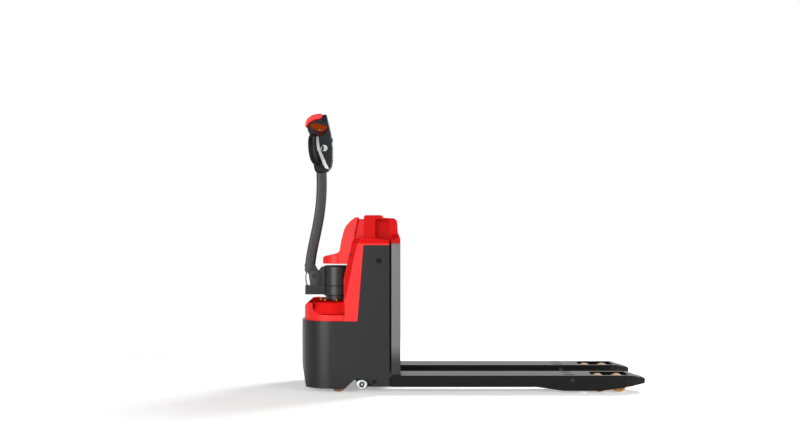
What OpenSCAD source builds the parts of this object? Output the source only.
// Electric pallet truck, walked behind: drive body, battery, tiller and lifting forks.
// Millimetres. X points to the fork tips, Z is up, and the floor is Z = 0.
// Inside the modules X counts from the load face, which is where the forks start.

/* [Overall] */
// Length of the drive body, from its rounded nose to the load face
body_len = 468; // [460:1:500]
// Length of the forks, from the load face to the tips
fork_len = 1150; // [1000:1:1220]
// Width over the forks and over the body
truck_w = 540; // [530:1:600]
// Lift stroke of the forks
lift = 115; // [80:1:118]

/* [Forks] */
// Width of one fork
fork_w = 160; // [156:1:180]
// Height of the fork tops when lowered
fork_top = 83; // [82:0.5:90]
// Thickness of the fork plate
fork_t = 6; // [4:0.5:7]
// Height of the lower edge of the fork sides
fork_sill = 30; // [24:1:36]
// Height of the lower edge beside the rollers
fork_low = 12; // [8:1:18]
// Length of the tapered fork nose
nose_len = 98; // [90:1:104]
// Height of the load guard over the floor
guard_h = 697; // [690:1:697]
// Thickness of the load guard plate
guard_t = 5; // [3:0.5:8]

/* [Rollers] */
// Radius of a load roller
load_r = 40; // [36:0.5:41]
// Width of a load roller
load_w = 70; // [50:1:72]
// Distance between the two rollers of one fork
load_pitch = 90; // [86:1:94]
// Distance from the fork tip to the middle of the roller pair
load_back = 171; // [168:1:180]
// Length of the roller arm
arm_len = 179.2; // [170:0.1:185]
// Height of the roller arm pivot
arm_z = 61; // [58:0.5:61]
// Length of the roller arm's lever
arm_lever = 44.6; // [40:0.1:46]
// Radius of the pin that carries the roller arm
arm_pin_r = 10; // [8:0.5:11]
// Radius of the roller axles
axle_r = 10; // [8:0.5:12]

/* [Linkage] */
// Distance from the load face back to the rocker shaft
rocker_back = 179; // [176:1:181]
// Height of the rocker shaft
rocker_z = 40; // [38:1:42]
// Outer radius of the rocker's ring journals
rocker_r = 20; // [18:0.5:22]
// Wall of the rocker's ring journals
rocker_wall = 5; // [3:0.5:8]
// Radius of the rocker shaft
shaft_r = 12; // [10:0.5:12]
// Length of the rocker arms
rocker_arm = 100; // [90:1:104]
// Distance from the side of the truck in to the rocker arms
rocker_arm_in = 120; // [118:1:124]
// Radius of the linkage pins
link_pin_r = 5; // [4:0.5:5.5]

/* [Drive] */
// Distance from the load face back to the steering axis
steer_back = 306; // [300:1:308]
// Radius of the drive wheel
drive_r = 100; // [92:1:102]
// Width of the drive wheel
drive_w = 70; // [60:1:72]
// Thickness of the drive wheel's tyre
drive_tyre_t = 18; // [12:1:26]
// Height of the chassis deck that carries the steering bearing
deck_z = 232; // [232:1:240]
// Thickness of the chassis deck
deck_t = 14; // [10:1:16]
// Radius of the steering head
head_r = 70; // [64:1:72]
// Height of the top of the steering head
head_top = 585; // [575:1:587]
// Height of the underside of the steering head
head_low = 440; // [436:1:446]

/* [Castors] */
// Radius of a castor wheel
castor_r = 35; // [30:0.5:36]
// Width of a castor wheel
castor_w = 30; // [24:1:32]
// Trail from the castor's swivel to its wheel
castor_trail = 16; // [12:1:18]
// Distance from the load face back to the castor swivel
castor_back = 275; // [270:1:280]

/* [Body] */
// Wall of the black lower moulding
shell_t = 4.5; // [3:0.5:6]
// Front corner radius of the lower moulding
shell_r = 145; // [120:1:160]
// Height of the lower moulding's front edge
shell_rim = 335; // [325:1:345]
// Height of the lower moulding's side wings
wing_top = 690; // [680:1:692]
// Wall of the red covers
cover_t = 4; // [3:0.5:6]
// Height of the hood's deck
hood_top = 417; // [410:1:418]
// Half width of the centre cover
dash_half = 80; // [74:1:84]

/* [Battery] */
// Half width of the battery pack in a truck of the usual width
battery_half = 222; // [200:1:224]
// Height of the battery shelf
shelf_z = 400; // [395:1:420]
// Height of the top of the battery cap
battery_top = 830; // [820:1:845]

/* [Tiller] */
// Distance from the load face back to the tiller pivot
tiller_back = 417; // [412:1:420]
// Height of the tiller pivot
tiller_z = 534; // [530:1:538]
// Radius of the tiller's pivot pin
tiller_pin_r = 8; // [6:0.5:9]
// Width of the tiller arm across the truck
tiller_w = 44; // [40:1:46]
// Depth of the tiller arm along the truck
tiller_d = 50; // [44:1:52]
// Height of the lower edge of the tiller's control head
control_z = 1041; // [1035:1:1043]
// Half width of the control head
control_half = 46; // [43:0.5:50]
// Radius of a hand grip
grip_r = 13; // [11:0.5:14]
// Reach of a hand grip beyond the control head
grip_reach = 112; // [100:1:125]

/* [Hidden] */
$fn = 64;

// Clearances: a running pin, two flat faces that pass, and a seat within one body
run_gap = 0.05;
side_gap = 0.3;
seat_gap = 0.05;
// Extra length of a cutter past the face that it opens
past = 1;

// Places along the truck, counted from the load face
heel_x = (body_len - fork_len) / 2;
steer_x = -steer_back;
castor_x = -castor_back;
rocker_x = -rocker_back;
tiller_x = -tiller_back;
half_w = truck_w / 2;

// The battery pack keeps its room at the sides when the truck gets wider or narrower
usual_w = 540;
pack_half = battery_half + (truck_w - usual_w) / 2;

// The forks end in a nose, and the load rollers hang on arms behind it
nose_x = fork_len - nose_len;
bogie_x = fork_len - load_back;
arm_rest = asin((arm_z - load_r) / arm_len);
arm_x = bogie_x - arm_len * cos(arm_rest);

// The lift turns the roller arms, the pull rods carry that turn to the rocker,
// and the rocker's arms push off the chassis by the same lift
arm_turn = asin((arm_z - load_r + lift) / arm_len) - arm_rest;
rod_stroke = 2 * arm_lever * sin(arm_turn / 2);
rocker_turn = 2 * asin(lift / 2 / rocker_arm);
rocker_lever = rod_stroke / 2 / sin(rocker_turn / 2);
arm_end = [arm_x + rod_stroke / 2, arm_z - arm_lever * cos(arm_turn / 2)];
rocker_end = [rocker_x + rod_stroke / 2, rocker_z + rocker_lever * cos(rocker_turn / 2)];
anchor = [rocker_x - rocker_arm * cos(rocker_turn / 2), rocker_z + lift / 2];
anchor_run = rocker_arm * (1 - cos(rocker_turn / 2));
front_sag = arm_lever * (1 - cos(arm_turn / 2));
rear_sag = rocker_lever * (1 - cos(rocker_turn / 2));

// Places across the truck
fork_y = half_w - fork_w / 2;
shell_in = half_w - shell_t;
stringer_out = shell_in - 1.1;
stringer_t = 8;
castor_sweep = norm([castor_r + castor_trail, castor_w / 2]);
castor_y = shell_in - castor_sweep - 4;
rocker_arm_y = half_w - rocker_arm_in;
frame_y = rocker_arm_y + 10;
frame_t = 8;

// Shared sizes of the drive column and chassis
axle_z = drive_r;
bearing_r = 66;
bearing_out = 78;
bearing_lip = 4;
column_top = deck_z + deck_t + bearing_lip + side_gap;
neck_z = hood_top + 2;
motor_r = 48;
bulkhead_x = -222;
bulkhead_t = 8;
bulkhead_top = 595;
castor_shelf_z = 92;
castor_shelf_t = 20;
castor_stem_r = 10;
anchor_pin_r = 8;
anchor_play = 2.5;
cylinder_x = -110;
cylinder_r = 30;
ram_r = 18;
hood_in = 12;
battery_front = -172;
hood_rear = -263;
pillar_gap = 4;
pillar_in = pack_half + pillar_gap;
wing_rear = -51;
shelf_t = 8;
pin_sink = 3;
rod_half = 6;
lever_t = 6;
arm_t = 8;
cheek_t = 6;
rod_gap = 0.5;
roller_gap = 2;
arm_cheek = load_w / 2 + roller_gap + cheek_t + 3;
dash_well_r = 19;
dash_x = -330;
dash_y = 30;
dash_floor = 606;
ear_t = 12;
throttle = [-388, control_z + 197];
throttle_r = 7;
side_button = [-370, control_z + 115];
side_button_r = 16;
horn_z = control_z + 156;
horn_r = 11;
control_tall = 279;
belly_z = control_z + control_tall - 51;
belly_stem_r = 8;

// An outline drawn as X and Z, stood up and given a width along Y, centred or from y0 to y1
module slab(width) rotate([90, 0, 0]) linear_extrude(width, center = true) children();
module between(y0, y1) translate([0, (y0 + y1) / 2, 0]) slab(abs(y1 - y0)) children();
// The same on both sides of the truck
module both() {
  children();
  mirror([0, 1, 0]) children();
}
module side(s) mirror([0, s < 0 ? 1 : 0, 0]) children();

// A cylinder along Y at an X and Z point
module cross_pin(p, r, y0, y1) between(y0, y1) translate(p) circle(r);

// A straight link outline with a round end at each of two points
module link(p, q, rp, rq) {
  d = (q - p) / norm(q - p);
  n = [-d[1], d[0]];
  translate(p) circle(rp);
  translate(q) circle(rq);
  polygon([p + n * rp, q + n * rq, q - n * rq, p - n * rp]);
}

// The plan of the body: a square tail and a nose with two round corners
module nose_plan(len, width, r, tail) intersection() {
  union() {
    translate([-len + r, -width / 2]) square([len, width]);
    translate([-len, -width / 2 + r]) square([len, width - 2 * r]);
    for (s = [-1, 1])
      translate([-len + r, s * (width / 2 - r)]) circle(r, $fn = 96);
  }
  translate([-len - past, -width]) square([len + past - tail, 2 * width]);
}

// Points on a cubic curve, and the direction that it runs there
function curve(p, t) = pow(1 - t, 3) * p[0] + 3 * t * pow(1 - t, 2) * p[1]
  + 3 * t * t * (1 - t) * p[2] + pow(t, 3) * p[3];
function heading(p, t) = let (d = pow(1 - t, 2) * (p[1] - p[0]) + 2 * t * (1 - t) * (p[2] - p[1])
  + t * t * (p[3] - p[2])) d / norm(d);

// One ring of a swept section: half sizes a and b, squarer as power falls below 1
function soft(v, power) = sign(v) * pow(abs(v), power);
function ring(c, u, v, a, b, sides, power) = [for (i = [0 : sides - 1])
  c + u * a * soft(cos(360 * i / sides), power) + v * b * soft(sin(360 * i / sides), power)];

// A closed tube through a list of rings
module tube(rings) {
  n = len(rings[0]);
  last = len(rings) - 1;
  walls = [for (k = [0 : last - 1], i = [0 : n - 1])
    [k * n + i, (k + 1) * n + i, (k + 1) * n + (i + 1) % n, k * n + (i + 1) % n]];
  caps = [[for (i = [0 : n - 1]) i], [for (i = [n - 1 : -1 : 0]) last * n + i]];
  polyhedron([for (r = rings) each r], concat(walls, caps));
}

// Chassis: everything that stays level with the floor

// Welded frame: bulkhead, deck, side plates with the rocker's slots, castor shelves, cylinder saddle and a post
// on each side that closes the gap between the wing and the load guard
module chassis_frame() color("dimgray") {
  deck_front = steer_x - 119;
  plate_low = anchor[1] - anchor_pin_r - 10.5;
  shelf_front = castor_x - 45;
  saddle_z = 300;
  saddle_h = 50;
  saddle_half = cylinder_r + 10;
  arm_slot = 20;
  wheel_room = 80;
  post_x = fork_rear - 2;
  post_w = 13;
  post_t = 10;
  post_gap = 10;
  post_y = min(pack_half + post_gap, shell_in - side_gap - post_t);
  post_bar_z = 500;
  post_bar_h = 40;
  difference() {
    union() {
      translate([deck_front, -frame_y - frame_t, deck_z])
        cube([bulkhead_x - deck_front + past, 2 * (frame_y + frame_t), deck_t]);
      translate([bulkhead_x, -pillar_in + past, plate_low])
        cube([bulkhead_t, 2 * (pillar_in - past), bulkhead_top - plate_low]);
      translate([bulkhead_x, -saddle_half, saddle_z])
        cube([cylinder_x + saddle_half - bulkhead_x, 2 * saddle_half, saddle_h]);
      both() {
        between(post_y, post_y + post_t) {
          translate([bulkhead_x, post_bar_z]) square([post_x - bulkhead_x, post_bar_h]);
          translate([post_x - post_w, plate_low]) square([post_w, wing_top - plate_low - past]);
        }
        translate([bulkhead_x, pillar_in - 2 * past, post_bar_z])
          cube([bulkhead_t, post_y + post_t - pillar_in + 2 * past, post_bar_h]);
        between(frame_y, frame_y + frame_t)
          polygon([[shelf_front, plate_low], [bulkhead_x + past, plate_low], [bulkhead_x + past, deck_z + past],
            [deck_front, deck_z + past], [deck_front, deck_z - 40], [shelf_front, castor_shelf_z]]);
        translate([shelf_front, frame_y, castor_shelf_z])
          cube([bulkhead_x + past - shelf_front, shell_in - frame_y, castor_shelf_t]);
      }
    }
    translate([steer_x, 0, deck_z - past])
      cylinder(h = deck_t + 2 * past, r = bearing_out + seat_gap);
    translate([cylinder_x, 0, saddle_z - past])
      cylinder(h = saddle_h + 2 * past, r = cylinder_r + seat_gap);
    translate([bulkhead_x - past, -wheel_room, plate_low - past])
      cube([bulkhead_t + 2 * past, 2 * wheel_room, deck_z - plate_low + past]);
    both() {
      translate([bulkhead_x - past, rocker_arm_y - arm_slot / 2, plate_low - past])
        cube([bulkhead_t + 2 * past, arm_slot, rocker_z + lift + 40 - plate_low]);
      between(frame_y - past, frame_y + frame_t + past)
        link(anchor + [anchor_play, 0], anchor - [anchor_run + anchor_play, 0],
          anchor_pin_r + anchor_play, anchor_pin_r + anchor_play);
      translate([castor_x, castor_y, castor_shelf_z - past])
        cylinder(h = castor_shelf_t + 2 * past, r = castor_stem_r + run_gap);
    }
  }
}

// Black lower moulding: a bent wall round the drive unit with two raised wings beside the battery
shell_low = 22;
shell_bend = 135;
shell_tuck = 23;
port = [-100, 618];
port_r = 14;
tie_hole = [-121, 54];
tie_hole_r = 10.5;
module shell_outline() polygon([[-body_len, shell_rim], [-body_len, shell_bend],
  [-body_len + shell_tuck, shell_low],
  [-258, shell_low], [-212, 66], [-157, 66], [-125, fork_sill + 1], [wing_rear, fork_sill + 1],
  [wing_rear, wing_top], [-171, wing_top], [-199, shell_rim]]);
module shell_hollow() polygon([[-body_len + shell_t, wing_top + past], [-body_len + shell_t, shell_bend],
  [-body_len + shell_tuck + shell_t, shell_low], [-body_len + shell_tuck + shell_t, -past],
  [wing_rear + past, -past], [wing_rear + past, wing_top + past]]);
module body_shell() color("#3a3a3a") {
  ledge = 25;
  ledge_t = 5;
  ledge_rear = 202;
  difference() {
    intersection() {
      linear_extrude(wing_top + past) nose_plan(body_len, truck_w, shell_r, 0);
      slab(truck_w + past) shell_outline();
    }
    intersection() {
      translate([0, 0, -past]) linear_extrude(wing_top + 3 * past)
        nose_plan(body_len - shell_t, truck_w - 2 * shell_t, shell_r - shell_t, -2 * past);
      slab(truck_w) shell_hollow();
    }
    cross_pin(tie_hole, tie_hole_r, -truck_w, truck_w);
    cross_pin(port, port_r + seat_gap, -truck_w, 0);
  }
  translate([0, 0, shell_rim - ledge_t]) linear_extrude(ledge_t) difference() {
    nose_plan(body_len - shell_t / 2, truck_w - shell_t, shell_r - shell_t / 2, ledge_rear);
    nose_plan(body_len - ledge, truck_w - 2 * ledge, shell_r - ledge, 0);
  }
}

// Charging socket in the near wing, clamped by a flange behind the wall
port_deep = 20;
port_gap = 2;
module charge_port() color("#1c1c1e") difference() {
  union() {
    cross_pin(port, port_r, -half_w + 1, -max(shell_in - port_deep, pack_half + port_gap));
    cross_pin(port, port_r + 6, -shell_in, -shell_in + 4);
  }
  cross_pin(port, port_r - 5, -half_w, -half_w + 4);
}

// Red hood over the drive unit, with a leaning scoop on each side
hood_len = body_len - hood_in;
scoop = [-412, 359];
scoop_r = 45;
scoop_in = 188;
scoop_foot = [240, 366];
module hood_plan(inset) {
  nose_plan(hood_len - inset, truck_w - 2 * hood_in - 2 * inset, shell_r - hood_in + 2 - inset,
    -hood_rear + inset);
  translate([hood_rear - 2 * inset - past, -scoop_in + inset])
    square([bulkhead_x - cover_t - hood_rear + inset + past, 2 * (scoop_in - inset)]);
}
module hood_outline(inset) polygon([[-hood_len, shell_rim - past], [-hood_len + inset, hood_top - 22],
  [-hood_len + inset + 4, hood_top - 12], [-hood_len + inset + 16, hood_top - inset],
  [0, hood_top - inset], [0, shell_rim - past]]);
module scoop_outline(grow) {
  translate([scoop[0] - grow + scoop_r, scoop[1] - grow]) square([hood_len, hood_top]);
  translate([scoop[0] - grow, scoop[1] - grow + scoop_r]) square([hood_len, hood_top]);
  translate([scoop[0] - grow + scoop_r, scoop[1] - grow + scoop_r]) circle(scoop_r);
}
module scoop_cut(grow) intersection() {
  between(scoop_in - 2 * grow, half_w) scoop_outline(grow);
  translate([-body_len, -grow, -grow]) rotate([90, 0, 90]) linear_extrude(body_len)
    polygon([[half_w + cover_t, scoop[1]], scoop_foot, [scoop_in, hood_top + cover_t + past],
      [half_w + cover_t, hood_top + cover_t + past]]);
}
module front_hood() color("#ff2020") difference() {
  intersection() {
    translate([0, 0, shell_rim]) linear_extrude(hood_top - shell_rim) hood_plan(0);
    slab(truck_w) hood_outline(0);
  }
  both() scoop_cut(0);
  difference() {
    intersection() {
      translate([0, 0, shell_rim - past]) linear_extrude(hood_top - shell_rim - cover_t + past)
        hood_plan(cover_t);
      slab(truck_w) hood_outline(cover_t);
    }
    both() scoop_cut(cover_t);
  }
  translate([steer_x, 0, hood_top - 2 * cover_t]) cylinder(h = 4 * cover_t, r = motor_r + 4);
}

// Red cover behind the steering head: two side pillars with shoulders over the wings, a hollow tower
// inside each pillar and a low wall between the towers
pillar_t = 5;
seam = 1;
module pillar_outline() polygon([[hood_rear + seam, shell_rim], [hood_rear + seam, 344], [-255, 436],
  [-241, 508],
  [-220, 614], [-199, wing_top + 9], [-181, wing_top + 37], [wing_rear - 2, wing_top + 21],
    [wing_rear - 2, wing_top],
  [-171 - seam, wing_top], [-199 - seam, shell_rim]]);
shoulder_bevel = [24, 33];
module shoulder_cut(inset) translate([-body_len, half_w - inset, wing_top + 8 - inset]) rotate([90, 0, 90])
  linear_extrude(body_len)
    polygon([[0, 0], [truck_w, 0], [truck_w, 2 * shoulder_bevel[1]], [-2 * shoulder_bevel[0],
      2 * shoulder_bevel[1]]]);
tower_in = dash_half + 4;
tower_front = -266;
tower_rear = battery_front - 4;
tower_back = bulkhead_x - 2;
tower_low = hood_top + seam;
tower_top = wing_top + 37;
module tower_outline() polygon([[tower_front, tower_low], [tower_front, 530], [-229, wing_top + 9],
  [-216, tower_top],
  [tower_rear, tower_top], [tower_rear, bulkhead_top + 45], [tower_back, bulkhead_top + 5],
    [tower_back, tower_low]]);
module tower_hollow() polygon([[tower_front + cover_t, tower_low - past], [tower_front + cover_t, 530],
  [-229 + cover_t, wing_top + 9], [-216 + cover_t, tower_top - cover_t],
    [tower_rear + past, tower_top - cover_t],
  [tower_rear + past, bulkhead_top], [tower_back + past, bulkhead_top - 40],
    [tower_back + past, tower_low - past]]);
module upper_cover() color("#ff2020") {
  both() difference() {
    between(pillar_in, half_w) pillar_outline();
    difference() {
      between(pillar_in - past, half_w - pillar_t) intersection() {
        pillar_outline();
        translate([pillar_t, -pillar_t]) pillar_outline();
      }
      shoulder_cut(pillar_t);
    }
    shoulder_cut(0);
  }
  both() difference() {
    between(tower_in, pillar_in + past) tower_outline();
    between(tower_in + cover_t, pillar_in - cover_t) tower_hollow();
  }
  both() between(scoop_in + seam, pillar_in + past)
    translate([hood_rear + seam, shell_rim + 5]) square([cover_t, tower_low + 5 - shell_rim]);
  translate([bulkhead_x - cover_t, -tower_in - 2, shell_rim + 5])
    cube([cover_t, 2 * (tower_in + 2), bulkhead_top - shell_rim - 5]);
}

// Red centre cover: a dash that leans back to the battery, with a round visor over the steering head
visor_r = 73;
visor_tuck = 1.5;
dash_low = -250;
dash_rear = -203;
dash_top = 820;
dash_front = steer_x - visor_r - past;
box_half = 66;
module dash_outline() polygon([[dash_low, bulkhead_top], [dash_front, bulkhead_top], [dash_front, 622],
  [-369, 631], [-326, 640], [-301, 649], [-294, 661], [-287, 702], [-277, 743], [-272, 760], [-263, 779],
  [-243, 801], [-219, dash_top], [dash_rear, dash_top]]);
module box_outline() polygon([[-290, bulkhead_top], [tower_rear, bulkhead_top], [tower_rear, dash_top - 8],
  [-215, dash_top - 8], [-262, 760]]);
module dash_hollow() polygon([[tower_rear + past, bulkhead_top + 4], [-300, bulkhead_top + 4], [-290, 655],
  [-283, 700],
  [-268, 755], [-240, 792], [-222, dash_top - 13], [tower_rear + past, dash_top - 13]]);
module centre_cover() color("#ff2020") difference() {
  union() {
    intersection() {
      slab(2 * dash_half + past) dash_outline();
      union() {
        translate([steer_x, 0, 0]) cylinder(h = battery_top, r = visor_r, $fn = 96);
        linear_extrude(battery_top) polygon([[steer_x, visor_r - visor_tuck], [dash_rear, dash_half],
          [dash_rear, -dash_half], [steer_x, visor_tuck - visor_r]]);
      }
    }
    slab(2 * box_half) box_outline();
  }
  slab(2 * box_half - 2 * cover_t) dash_hollow();
  for (s = [-1, 1])
    translate([dash_x, s * dash_y, dash_floor]) cylinder(h = 60, r = dash_well_r);
  translate([dash_x, dash_y, dash_floor - 8]) cylinder(h = 20, r = stop_stem_r + 0.5);
}

// Key barrel and emergency stop collar, each on the floor of its well
stop_stem_r = 7;
stop_collar_t = 5;
key_r = 4;
key_lock_t = 6;
module key_lock() color("silver") translate([dash_x, -dash_y, dash_floor]) difference() {
  cylinder(h = key_lock_t, r = 13);
  translate([0, 0, -past]) cylinder(h = key_lock_t + 2 * past, r = key_r + run_gap);
}
module stop_collar() color("gold") translate([dash_x, dash_y, dash_floor]) difference() {
  cylinder(h = stop_collar_t, r = dash_well_r - 1);
  translate([0, 0, -past]) cylinder(h = stop_collar_t + 2 * past, r = stop_stem_r + run_gap);
}
module key() color("#222222") translate([dash_x, -dash_y, dash_floor + side_gap]) {
  cylinder(h = key_lock_t + 4, r = key_r);
  translate([0, 0, key_lock_t + 12]) rotate([90, 0, 0]) linear_extrude(3, center = true) difference() {
    circle(10);
    translate([0, 4]) circle(3);
  }
}
module stop_button() color("red") translate([dash_x, dash_y, dash_floor]) {
  translate([0, 0, -2]) cylinder(h = 14, r = stop_stem_r);
  translate([0, 0, stop_collar_t + 5]) rotate_extrude()
    polygon([[0, 0], [13, 0], [16, 3], [16, 8], [13, 12], [7, 14], [0, 14]]);
}

// Lift cylinder, its oil pump and the drive controller, all hung on the bulkhead
cylinder_low = 180;
cylinder_top = shelf_z - 12;
cylinder_base = 12;
pump_side = 190;
controller_side = 75;
module lift_cylinder() color("#2c2c2c") translate([cylinder_x, 0, 0]) difference() {
  translate([0, 0, cylinder_low]) cylinder(h = cylinder_top - cylinder_low, r = cylinder_r);
  translate([0, 0, cylinder_low + cylinder_base]) cylinder(h = cylinder_top, r = ram_r + run_gap);
}
module pump_unit() color("#6a6f75") translate([bulkhead_x + bulkhead_t, half_w - pump_side, 205]) {
  cube([110, 110, 80]);
  translate([55, 55, 80]) cylinder(h = 95, r = 36);
  translate([55, 55, 175]) cylinder(h = 8, r = 20);
}
module drive_controller() color("#3f4a4a") translate([bulkhead_x + bulkhead_t, controller_side - half_w, 210]) {
  fins = 8;
  cube([46, 115, 150]);
  for (i = [0 : fins - 1])
    translate([46 - past, 8 + i * 13, 8]) cube([14, 5, 134]);
}
module steer_bearing() color("silver") translate([steer_x, 0, deck_z]) difference() {
  union() {
    cylinder(h = deck_t, r = bearing_out);
    translate([0, 0, deck_t]) cylinder(h = bearing_lip, r = bearing_out + 4);
  }
  translate([0, 0, -past]) cylinder(h = deck_t + bearing_lip + 2 * past, r = bearing_r + run_gap);
}

// Steering column: turns in the deck bearing and carries the drive wheel and the tiller

// Round steering head with a seam, on a narrower neck
module steer_head() color("#2e2e2e") translate([steer_x, 0, 0]) rotate_extrude($fn = 96)
  polygon([[0, neck_z], [head_r - 10, neck_z], [head_r - 10, head_low], [head_r - 2, head_low],
    [head_r, head_low + 3], [head_r, head_low + 46], [head_r - 1.5, head_low + 47],
      [head_r - 1.5, head_low + 49],
    [head_r, head_low + 50], [head_r, head_top - 5], [head_r - 4, head_top], [0, head_top]]);

// Gearbox: a neck in the bearing, a thrust flange and one cheek down to the wheel axle
axle_stub_r = 20;
cheek_gap = 7;
module drive_gearbox() color("#55585c") {
  flange_low = 2 * drive_r + 3;
  cheek_in = drive_w / 2 + cheek_gap;
  cheek_out = cheek_in + 30;
  translate([steer_x, 0, flange_low]) cylinder(h = column_top - flange_low, r = bearing_r);
  translate([steer_x, 0, flange_low]) cylinder(h = deck_z - side_gap - flange_low, r = bearing_out - 2);
  between(cheek_in, cheek_out) intersection() {
    link([steer_x, axle_z], [steer_x, flange_low + 4], 52, 58);
    translate([steer_x - head_r, 0]) square([2 * head_r, flange_low + 8]);
  }
  cross_pin([steer_x, axle_z], axle_stub_r, -drive_w / 2 + 8, cheek_in + past);
}
module drive_motor() color("#3b3d40") translate([steer_x, 0, column_top]) {
  rib_pitch = 12;
  motor_h = neck_z - column_top;
  cylinder(h = 8, r = bearing_r + 5);
  cylinder(h = motor_h, r = motor_r - 3);
  for (z = [16 : rib_pitch : motor_h - 10])
    translate([0, 0, z]) cylinder(h = 6, r = motor_r);
}

// Clevis bolted to the head: two ears for the tiller pin over a cable block
ear_in = tiller_w / 2 + side_gap;
ear_out = ear_in + ear_t;
ear_r = 28;
ear_step = 5;
block_top = head_low + 48;
module tiller_clevis() color("#353535") difference() {
  union() {
    both() {
      between(ear_in, ear_out) {
        translate([tiller_x, tiller_z]) circle(ear_r);
        polygon([[tiller_x - 21, block_top - past], [tiller_x - ear_r + 0.5, tiller_z - 6],
          [tiller_x + ear_r - 0.5, tiller_z - 6], [tiller_x + 24, block_top - past]]);
      }
      between(ear_in, ear_out - ear_step)
        polygon([[tiller_x, block_top - past], [tiller_x + 14, tiller_z + 22], [tiller_x + 32, head_top - 6],
          [steer_x - head_r + 12, head_top - 6], [steer_x - head_r + 12, block_top - past]]);
    }
    translate([-body_len + 5, -ear_out, head_low + 5]) cube([body_len - 5 + steer_x, 2 * ear_out,
      block_top - head_low - 5]);
  }
  translate([steer_x, 0, head_low]) cylinder(h = head_top, r = head_r + seat_gap, $fn = 96);
  cross_pin([tiller_x, tiller_z], tiller_pin_r + seat_gap, -body_len, body_len);
}
module tiller_pin() color("silver") {
  cross_pin([tiller_x, tiller_z], tiller_pin_r, -ear_out, ear_out);
  both() cross_pin([tiller_x, tiller_z], tiller_pin_r + 6, ear_out, ear_out + 3);
}

// Control cable from the block up to the tiller, along a short hand-drawn bow
cable_r = 2.5;
cable_bow = [[-456, 0, block_top + 1.2], [-464, 0, 505], [-465, 0, 538], [-458, 0, 553.6]];
module tiller_cable() color("#181818") {
  steps = 9;
  tube([for (i = [0 : steps]) let (t = i / steps, h = heading(cable_bow, t))
    ring(curve(cable_bow, t), [h[2], 0, -h[0]], [0, 1, 0], cable_r, cable_r, 8, 1)]);
}

// Drive wheel: dished hub, moulded tyre and the bolts that hold the hub
hub_r = drive_r - drive_tyre_t;
module spun_on_y(p) translate([p[0], 0, p[1]]) rotate([90, 0, 0]) rotate_extrude($fn = 96) children();
module drive_hub() color("#8d9094") spun_on_y([steer_x, axle_z])
  polygon([[axle_stub_r + run_gap, -30], [36, -30], [36, -14], [hub_r - 17, -14],
    [hub_r - 17, -drive_w / 2 + 4],
    [hub_r, -drive_w / 2 + 4], [hub_r, drive_w / 2 - 4], [hub_r - 17, drive_w / 2 - 4], [hub_r - 17, 14],
    [36, 14], [36, 30], [axle_stub_r + run_gap, 30]]);
module drive_tyre() color("#7a5a34") spun_on_y([steer_x, axle_z])
  polygon([[hub_r + seat_gap, -drive_w / 2], [drive_r - 6, -drive_w / 2], [drive_r - 2, -drive_w / 2 + 3],
    [drive_r, -drive_w / 2 + 9], [drive_r, drive_w / 2 - 9], [drive_r - 2, drive_w / 2 - 3],
    [drive_r - 6, drive_w / 2], [hub_r + seat_gap, drive_w / 2]]);
module wheel_bolts() color("silver") {
  bolts = 5;
  bolt_ring = 53;
  for (i = [0 : bolts - 1])
    cross_pin([steer_x + bolt_ring * cos(360 * i / bolts), axle_z + bolt_ring * sin(360 * i / bolts)], 7,
      -14, -22);
}

// Tiller arm: a squared tube on a long bow, with a lug for the pivot pin
arm_bow = [[-443, 0, 556], [-438, 0, 700], [-376, 0, 800], [-386, 0, control_z]];
module tiller_arm() color("#3c3c3c") {
  steps = 16;
  lug_r = 24;
  difference() {
    union() {
      tube([for (i = [0 : steps]) let (t = i / steps, h = i == steps ? [0, 0, 1] : heading(arm_bow, t))
        ring(curve(arm_bow, t), [h[2], 0, -h[0]], [0, 1, 0], tiller_d / 2, tiller_w / 2, 20, 0.55)]);
      slab(tiller_w - 2) link([arm_bow[0][0], 585], [tiller_x, tiller_z], tiller_d / 2 - 0.5, lug_r);
    }
    cross_pin([tiller_x, tiller_z], tiller_pin_r + run_gap, -tiller_w, tiller_w);
  }
}

// Control head: a leaning casing, drawn from its lower edge up
module control_outline() translate([0, control_z]) polygon([[-404, 0], [-356, 0], [-337, 25], [-332, 54],
  [-332, 114],
  [-340, 187], [-352, 239], [-361, control_tall], [-373, control_tall], [-376, control_tall - 29],
  [-418, control_tall - 43], [-436, control_tall - 67], [-436, control_tall - 80], [-430, 159], [-424, 109], [-418, 54]]);
module control_front() translate([0, control_z]) polygon([[-control_half + 6, 0], [control_half - 6, 0],
  [control_half, 14],
  [control_half, control_tall - 34], [control_half - 10, control_tall], [10 - control_half, control_tall],
  [-control_half, control_tall - 34],
  [-control_half, 14]]);
display_w = 56;
display_h = 52;
display_x = -335;
display_z = control_z + 58;
module control_head() color("#34373d") difference() {
  intersection() {
    slab(2 * control_half) control_outline();
    translate([-body_len, 0, 0]) rotate([90, 0, 90]) linear_extrude(body_len) control_front();
  }
  cross_pin(throttle, throttle_r + run_gap, -truck_w, truck_w);
  translate([-445, 0, belly_z]) rotate([0, 90, 0]) cylinder(h = 43, r = belly_stem_r + run_gap);
  both() cross_pin(side_button, side_button_r + run_gap, control_half - 7, control_half + past);
  translate([-347, 0, horn_z]) rotate([0, 90, 0]) cylinder(h = 40, r = horn_r + run_gap);
  translate([display_x, -display_w / 2, display_z]) cube([20, display_w, display_h]);
}
module display() color("#101418") translate([display_x, -display_w / 2 + 0.2, display_z + 0.2])
  cube([2.5, display_w - 0.4, display_h - 0.4]);

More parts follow.
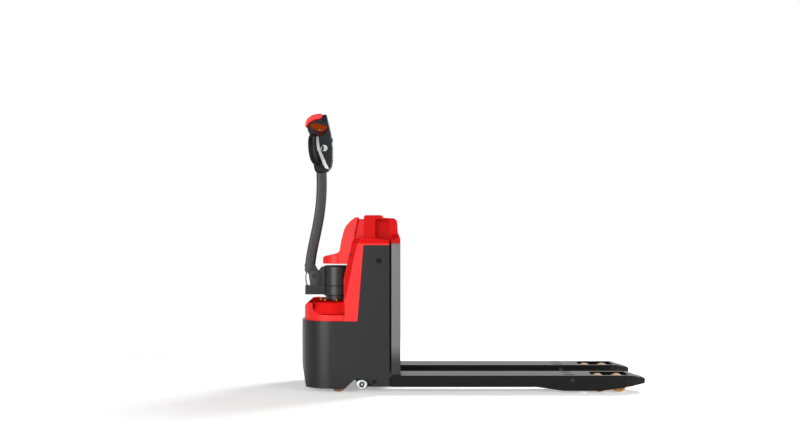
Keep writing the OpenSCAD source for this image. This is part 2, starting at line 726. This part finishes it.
// Hand grips: a closed bow on each side of the control head
grip_bow = [[-424, control_half, control_z + 171], [-432, control_half + grip_reach, control_z + 178],
  [-430, control_half + grip_reach, control_z + 40], [-404, control_half, control_z + 44]];
module grip(s) color("#1b1b1b") side(s) {
  steps = 22;
  tube([for (i = [0 : steps]) let (t = i / steps, h = i == 0 ? [0, 1, 0] : i == steps ? [0, -1,
    0] : heading(grip_bow, t),
    u = cross(h, [1, 0, 0]) / norm(cross(h, [1, 0, 0])))
    ring(curve(grip_bow, t), u, cross(h, u), grip_r, grip_r + 1, 14, 0.85)]);
}

// Pale trim strip down each flank of the control head
module trim(s) color("#b9b9b9") side(s) between(control_half, control_half + 3) translate([0, control_z])
  polygon([[-409, 171], [-407, 130], [-403, 108], [-391, 77], [-377, 39], [-361, 14], [-345, 14], [-361, 44],
    [-375, 79], [-388, 108], [-393, 130], [-398, 171]]);

// Thumb paddles on one shaft through the control head
paddle_in = control_half + side_gap;
paddle_t = 17;
module throttle_shaft() color("silver") cross_pin(throttle, throttle_r, -paddle_in - paddle_t,
  paddle_in + paddle_t);
module throttle_paddles() color("#8a4a12") both() difference() {
  between(paddle_in, paddle_in + paddle_t) translate(throttle) {
    circle(20);
    polygon([[-48, 16], [-46, 33], [-24, 38], [6, 32], [32, 24], [33, 12], [19, 2], [-8, 4], [-28, 8]]);
  }
  cross_pin(throttle, throttle_r + seat_gap, 0, truck_w);
}

// Reversing button over the top of the head, on a stem that slides into the casing
module belly_button() color("#ff2a2a") {
  steps = 12;
  crown = [[-380, 5], [-436, 5], [-464, -17], [-464, -58]];
  belly = [[-454, -65], [-446, -39], [-424, -29], [-384, -22]];
  slab(2 * control_half) translate([0, control_z + control_tall])
    polygon([for (bow = [crown, belly], i = [0 : steps]) curve(bow, i / steps)]);
  translate([-457, 0, belly_z]) rotate([0, 90, 0]) cylinder(h = 48, r = belly_stem_r);
}
module side_button_cap(s) color("#b5b5b5") side(s) difference() {
  cross_pin(side_button, side_button_r, control_half - 4, control_half + 5);
  cross_pin(side_button, side_button_r - 7, control_half + 3.5, control_half + 6);
}
module horn_button() color("#d0a020") translate([-343, 0, horn_z]) rotate([0, 90, 0]) cylinder(h = 12,
  r = horn_r);

// Castors: a swivel fork under each chassis shelf with a trailing wheel
castor_axle_r = 6;
castor_cheek_t = 4;
module castor_fork(s) color("#70757a") side(s) translate([castor_x, castor_y, 0]) {
  crown_low = 2 * castor_r + 5;
  cheek_in = castor_w / 2 + 1.5;
  cheek_out = cheek_in + castor_cheek_t;
  stem_top = castor_shelf_z + castor_shelf_t + 14;
  translate([0, 0, crown_low]) cylinder(h = castor_shelf_z - side_gap - crown_low, r = 24);
  translate([0, 0, crown_low + 2]) cylinder(h = stem_top - crown_low - 2, r = castor_stem_r);
  translate([0, 0, castor_shelf_z + castor_shelf_t + side_gap]) cylinder(h = 10, r = castor_stem_r + 6);
  both() between(cheek_in, cheek_out) {
    translate([-castor_trail, castor_r]) circle(castor_axle_r + 5);
    polygon([[-castor_trail - castor_axle_r - 4.5, castor_r], [-11, crown_low + 5], [9, crown_low + 5],
      [-castor_trail + castor_axle_r + 4.5, castor_r]]);
  }
  cross_pin([-castor_trail, castor_r], castor_axle_r, -cheek_out - 2, cheek_out + 2);
}
module castor_wheel(s) color("#8a5a2c") side(s) translate([0, castor_y, 0])
  spun_on_y([castor_x - castor_trail, castor_r])
    polygon([[castor_axle_r + run_gap, -castor_w / 2], [13, -castor_w / 2], [15, -castor_w / 2 + 4],
      [22, -castor_w / 2 + 4], [24, -castor_w / 2], [castor_r - 5, -castor_w / 2],
        [castor_r - 1.5, -castor_w / 2 + 2.5],
      [castor_r, -castor_w / 2 + 7], [castor_r, castor_w / 2 - 7], [castor_r - 1.5, castor_w / 2 - 2.5],
      [castor_r - 5, castor_w / 2], [24, castor_w / 2], [22, castor_w / 2 - 4], [15, castor_w / 2 - 4],
      [13, castor_w / 2], [castor_axle_r + run_gap, castor_w / 2]]);

// Fork frame: what the cylinder lifts

// One fork: a bent channel, open below, with a roller opening and a stringer back to the rocker
fork_rear = -45;
heel_step = 1;
nose_low = 29;
opening_half = 60;
opening_x0 = bogie_x - 84;
opening_x1 = bogie_x + 87;
module fork_outline() polygon([[fork_rear, fork_top - heel_step], [0, fork_top - heel_step], [0, fork_top],
  [nose_x, fork_top],
  [nose_x, nose_low], [bogie_x + 14, 20], [bogie_x - 41, fork_low], [arm_x - 43, fork_low],
  [arm_x - 164, fork_sill], [fork_rear, fork_sill]]);
module stringer_outline() {
  boss = rocker_r + 4;
  translate([rocker_x, rocker_z]) circle(boss);
  polygon([[rocker_x, rocker_z - boss], [rocker_x + boss + 5, fork_sill + 1], [0, fork_sill + 1],
    [0, fork_top - fork_t - 2], [rocker_x, rocker_z + boss]]);
}
module fork(s) color("#333333") side(s) difference() {
  union() {
    translate([0, fork_y, 0]) difference() {
      slab(fork_w) fork_outline();
      slab(fork_w - 2 * fork_t) translate([fork_rear - past, -past])
        square([nose_x - fork_rear + 2 * past, fork_top - fork_t + past]);
      translate([opening_x0, -opening_half, 0]) linear_extrude(fork_top + past)
        polygon([[0, 20], [20, 0], [fork_len, 0], [fork_len, 2 * opening_half], [20, 2 * opening_half],
          [0, 2 * opening_half - 20]]);
      for (y = [-44, 44])
        translate([arm_x - 12, y, fork_top - fork_t - past]) linear_extrude(fork_t + 2 * past) slot_outline();
    }
    between(stringer_out - stringer_t, stringer_out) stringer_outline();
  }
  cross_pin([arm_x, arm_z], arm_pin_r + seat_gap, 0, truck_w);
  cross_pin([rocker_x, rocker_z], rocker_r + run_gap, 0, truck_w);
}
module slot_outline() {
  slot_len = 51;
  slot_w = 20;
  translate([-slot_len / 2 + slot_w / 2, -slot_w / 2]) square([slot_len - slot_w, slot_w]);
  for (x = [-1, 1])
    translate([x * (slot_len - slot_w) / 2, 0]) circle(slot_w / 2);
}

// Tapered fork nose, hollow where the front roller turns
module nose(s) color("#303030") side(s) translate([0, fork_y, 0]) difference() {
  intersection() {
    slab(fork_w) polygon([[nose_x, fork_top], [fork_len - 70, fork_top], [fork_len - 5, fork_top - 17],
      [fork_len, fork_top - 22], [fork_len, 46], [fork_len - 5, 41], [nose_x, nose_low]]);
    linear_extrude(fork_top) polygon([[nose_x, -fork_w / 2], [nose_x + 24, -fork_w / 2 + 3],
      [fork_len - 30, -fork_w / 2 + 32],
      [fork_len - 8, -fork_w / 2 + 44], [fork_len, -fork_w / 2 + 54], [fork_len, fork_w / 2 - 54],
      [fork_len - 8, fork_w / 2 - 44], [fork_len - 30, fork_w / 2 - 32], [nose_x + 24, fork_w / 2 - 3],
      [nose_x, fork_w / 2]]);
  }
  translate([nose_x - past, -opening_half, 0]) cube([opening_x1 - nose_x + past, 2 * opening_half,
    fork_top + past]);
}

// Load guard: a plate with two bevelled corners, and the shelf that the battery stands on
guard_bevel = [41, 22];
guard_back = -guard_bevel[0] - 1;
guard_wide = stringer_out - 2.4;
module guard_plan(inset) {
  wide = guard_wide - inset;
  face = wide - guard_bevel[1];
  polygon([[guard_back - inset, wide], [-guard_bevel[0], wide], [-inset, face], [-inset, -face],
    [-guard_bevel[0], -wide], [guard_back - inset, -wide]]);
}
module load_guard() color("#878787") {
  shelf_back = battery_front - 4;
  gusset_y = 56;
  gusset_t = 8;
  translate([0, 0, fork_top - heel_step]) linear_extrude(guard_h - fork_top + heel_step) difference() {
    guard_plan(0);
    guard_plan(guard_t);
  }
  translate([shelf_back, -pack_half - 6, shelf_z]) cube([-shelf_back - guard_t + past,
    2 * (pack_half + 6), shelf_t]);
  both() between(gusset_y, gusset_y + gusset_t)
    polygon([[-guard_t + past, shelf_z - 70], [-guard_t + past, shelf_z + past], [-140, shelf_z + past],
      [-140, shelf_z - 6]]);
}
module lift_ram() color("silver") translate([cylinder_x, 0, 0]) {
  ram_low = cylinder_low + cylinder_base + 8;
  translate([0, 0, ram_low]) cylinder(h = shelf_z - ram_low, r = ram_r);
}
module arm_pins() color("#3a3a3a") both()
  cross_pin([arm_x, arm_z], arm_pin_r, fork_y - fork_w / 2 + pin_sink, fork_y + fork_w / 2 - pin_sink);

// Battery pack: a black case on the shelf under a red cap with a hand scoop on each side
battery_rear = -12;
case_top = guard_h + 1;
module battery_case() color("#202020") {
  corner = 15;
  translate([0, 0, shelf_z + shelf_t]) linear_extrude(case_top - shelf_z - shelf_t) {
    translate([battery_front, -pack_half + corner]) square([battery_rear - battery_front,
      2 * (pack_half - corner)]);
    translate([battery_front + corner, -pack_half])
      square([battery_rear - battery_front - 2 * corner, 2 * pack_half]);
    for (x = [battery_front + corner, battery_rear - corner], s = [-1, 1])
      translate([x, s * (pack_half - corner)]) circle(corner);
  }
}
module battery_cap() color("#f01818") {
  scoop_deep = 42;
  skirt_rise = 14;
  skirt_top = 42;
  difference() {
    slab(2 * pack_half + 4) polygon([[battery_front, case_top], [battery_front, battery_top - 8],
      [battery_front + 6, battery_top], [-92, battery_top], [-84, battery_top - 12], [-30, battery_top - 15],
      [-17, battery_top - 28], [-10, case_top + 18], [-10, case_top]]);
    both() between(pack_half - scoop_deep, pack_half + 10) cap_scoop();
  }
  difference() {
    translate([0, 0, case_top]) linear_extrude(skirt_top) guard_plan(0);
    both() translate([-body_len, 0, case_top]) rotate([90, 0, 90]) linear_extrude(body_len + past)
      polygon([[guard_wide, skirt_rise], [pack_half, skirt_top], [pack_half, 2 * skirt_top],
        [truck_w, 2 * skirt_top], [truck_w, skirt_rise]]);
    slab(truck_w) translate([0, case_top]) polygon([[0, skirt_rise], [-10, skirt_top], [-10, 2 * skirt_top],
      [past, 2 * skirt_top], [past, skirt_rise]]);
  }
}
module cap_scoop() {
  r = 14;
  low = [-119, case_top + 22];
  high = [-49, battery_top - 18];
  translate([low[0] + r, low[1]]) square([high[0] - low[0] - 2 * r, high[1] - low[1]]);
  translate([low[0], low[1] + r]) square([high[0] - low[0], high[1] - low[1] - 2 * r]);
  for (x = [low[0] + r, high[0] - r], z = [low[1] + r, high[1] - r])
    translate([x, z]) circle(r);
}

// Lift linkage: rocker, pull rods, roller arms, bogies and rollers

// Rocker: a shaft across the truck on two ring journals, with two arms that push on the chassis
// and a pair of levers over each pull rod
module rocker() color("#d8d8d4") {
  arm_half = 6;
  hub_r = shaft_r + 5;
  lever_in = rod_half + 2;
  difference() {
    union() {
      cross_pin([rocker_x, rocker_z], shaft_r, -stringer_out + stringer_t, stringer_out - stringer_t);
      both() {
        cross_pin([rocker_x, rocker_z], rocker_r, stringer_out - 2 * stringer_t, stringer_out);
        between(rocker_arm_y - arm_half, rocker_arm_y + arm_half) link([rocker_x, rocker_z], anchor, hub_r, 15);
        cross_pin(anchor, anchor_pin_r, rocker_arm_y, frame_y + frame_t);
        for (s = [-1, 1])
          translate([0, fork_y + s * (lever_in + lever_t / 2), 0]) slab(lever_t)
            link([rocker_x, rocker_z], rocker_end, hub_r, link_pin_r + 4);
        cross_pin(rocker_end, link_pin_r, fork_y - lever_in - lever_t, fork_y + lever_in + lever_t);
      }
    }
    both() {
      cross_pin([rocker_x, rocker_z], rocker_r - rocker_wall, stringer_out - 1.5 * stringer_t, half_w);
      cross_pin([rocker_x, rocker_z], shaft_r - 4, stringer_out - 8 * stringer_t, half_w);
    }
  }
}

// Pull rod: a flat bar with an upright slot at each end for the lever's rise and fall
module pull_rod(s) color("#9aa0a4") side(s) translate([0, fork_y, 0]) difference() {
  rise = [0, rear_sag];
  fall = [0, -front_sag];
  eye_r = link_pin_r + 4.5;
  bar_half = [0, 6];
  union() {
    slab(2 * rod_half)
      polygon([rocker_end - bar_half, arm_end - bar_half, arm_end + bar_half, rocker_end + bar_half]);
    slab(2 * rod_half) link(rocker_end, rocker_end + rise, eye_r, eye_r);
    slab(2 * rod_half) link(arm_end, arm_end + fall, eye_r, eye_r);
  }
  slab(3 * rod_half) link(rocker_end, rocker_end + rise, link_pin_r + rod_gap, link_pin_r + rod_gap);
  slab(3 * rod_half) link(arm_end, arm_end + fall, link_pin_r + rod_gap, link_pin_r + rod_gap);
}

// Roller arm: two side plates and a lever on one pivot tube
module roller_arm(s) color("#4a4d50") side(s) translate([0, fork_y, 0]) difference() {
  pivot = [arm_x, arm_z];
  tube_r = arm_pin_r + 3;
  eye_r = fork_top - fork_t - arm_z - 0.5;
  union() {
    cross_pin(pivot, tube_r, -arm_cheek - past, arm_cheek + past);
    both() {
      between(arm_cheek, arm_cheek + arm_t) link(pivot, [bogie_x, load_r], eye_r, bogie_pin_r + 6);
      between(rod_half + 2, rod_half + 2 + lever_t) link(pivot, arm_end, tube_r + 1, link_pin_r + 5);
    }
    cross_pin(arm_end, link_pin_r, -rod_half - 3, rod_half + 3);
  }
  cross_pin(pivot, arm_pin_r + run_gap, -fork_w, fork_w);
  cross_pin([bogie_x, load_r], bogie_pin_r + run_gap, -fork_w, fork_w);
}

// Bogie: two cheeks joined by the roller axles, hung on stub pins in the roller arm
bogie_pin_r = 9;
module bogie(s) color("#6b6f73") side(s) translate([0, fork_y, 0]) {
  cheek_in = load_w / 2 + roller_gap;
  rear = [bogie_x - load_pitch / 2, load_r];
  front = [bogie_x + load_pitch / 2, load_r];
  both() {
    between(cheek_in, cheek_in + cheek_t) link(rear, front, 15, 15);
    cross_pin([bogie_x, load_r], bogie_pin_r, cheek_in, arm_cheek + arm_t);
  }
  cross_pin(rear, axle_r, -cheek_in - past, cheek_in + past);
  cross_pin(front, axle_r, -cheek_in - past, cheek_in + past);
}
module roller(s, end) color("#c98a3a") side(s) translate([0, fork_y, 0])
  spun_on_y([bogie_x + end * load_pitch / 2, load_r])
  polygon([[axle_r + run_gap, -load_w / 2], [20, -load_w / 2], [22, -load_w / 2 + 5], [29, -load_w / 2 + 5],
    [31, -load_w / 2], [load_r - 4, -load_w / 2], [load_r, -load_w / 2 + 4], [load_r, load_w / 2 - 4],
    [load_r - 4, load_w / 2], [31, load_w / 2], [29, load_w / 2 - 5], [22, load_w / 2 - 5], [20, load_w / 2],
    [axle_r + run_gap, load_w / 2]]);

// The load face stands at heel_x, so that the truck is centred on its origin
module at_truck() translate([heel_x, 0, 0]) children();

at_truck() chassis_frame();
at_truck() body_shell();
at_truck() front_hood();
at_truck() upper_cover();
at_truck() centre_cover();
at_truck() charge_port();
at_truck() lift_cylinder();
at_truck() steer_bearing();
at_truck() pump_unit();
at_truck() drive_controller();
at_truck() key_lock();
at_truck() stop_collar();
at_truck() steer_head();
at_truck() drive_gearbox();
at_truck() drive_motor();
at_truck() tiller_clevis();
at_truck() tiller_pin();
at_truck() tiller_cable();
at_truck() drive_hub();
at_truck() drive_tyre();
at_truck() wheel_bolts();
at_truck() tiller_arm();
at_truck() control_head();
at_truck() grip(1);  // grip_left
at_truck() grip(-1);  // grip_right
at_truck() trim(1);  // trim_left
at_truck() trim(-1);  // trim_right
at_truck() display();
at_truck() throttle_shaft();
at_truck() throttle_paddles();
at_truck() belly_button();
at_truck() side_button_cap(-1);  // lift_button
at_truck() side_button_cap(1);  // lower_button
at_truck() horn_button();
at_truck() key();
at_truck() stop_button();
at_truck() battery_case();
at_truck() battery_cap();
at_truck() castor_fork(1);  // castor_fork_left
at_truck() castor_fork(-1);  // castor_fork_right
at_truck() castor_wheel(1);  // castor_wheel_left
at_truck() castor_wheel(-1);  // castor_wheel_right
at_truck() fork(1);  // fork_left
at_truck() fork(-1);  // fork_right
at_truck() nose(1);  // nose_left
at_truck() nose(-1);  // nose_right
at_truck() load_guard();
at_truck() lift_ram();
at_truck() arm_pins();
at_truck() rocker();
at_truck() pull_rod(1);  // pull_rod_left
at_truck() pull_rod(-1);  // pull_rod_right
at_truck() roller_arm(1);  // roller_arm_left
at_truck() roller_arm(-1);  // roller_arm_right
at_truck() bogie(1);  // bogie_left
at_truck() bogie(-1);  // bogie_right
at_truck() roller(1, -1);  // roller_left_rear
at_truck() roller(1, 1);  // roller_left_front
at_truck() roller(-1, -1);  // roller_right_rear
at_truck() roller(-1, 1);  // roller_right_front
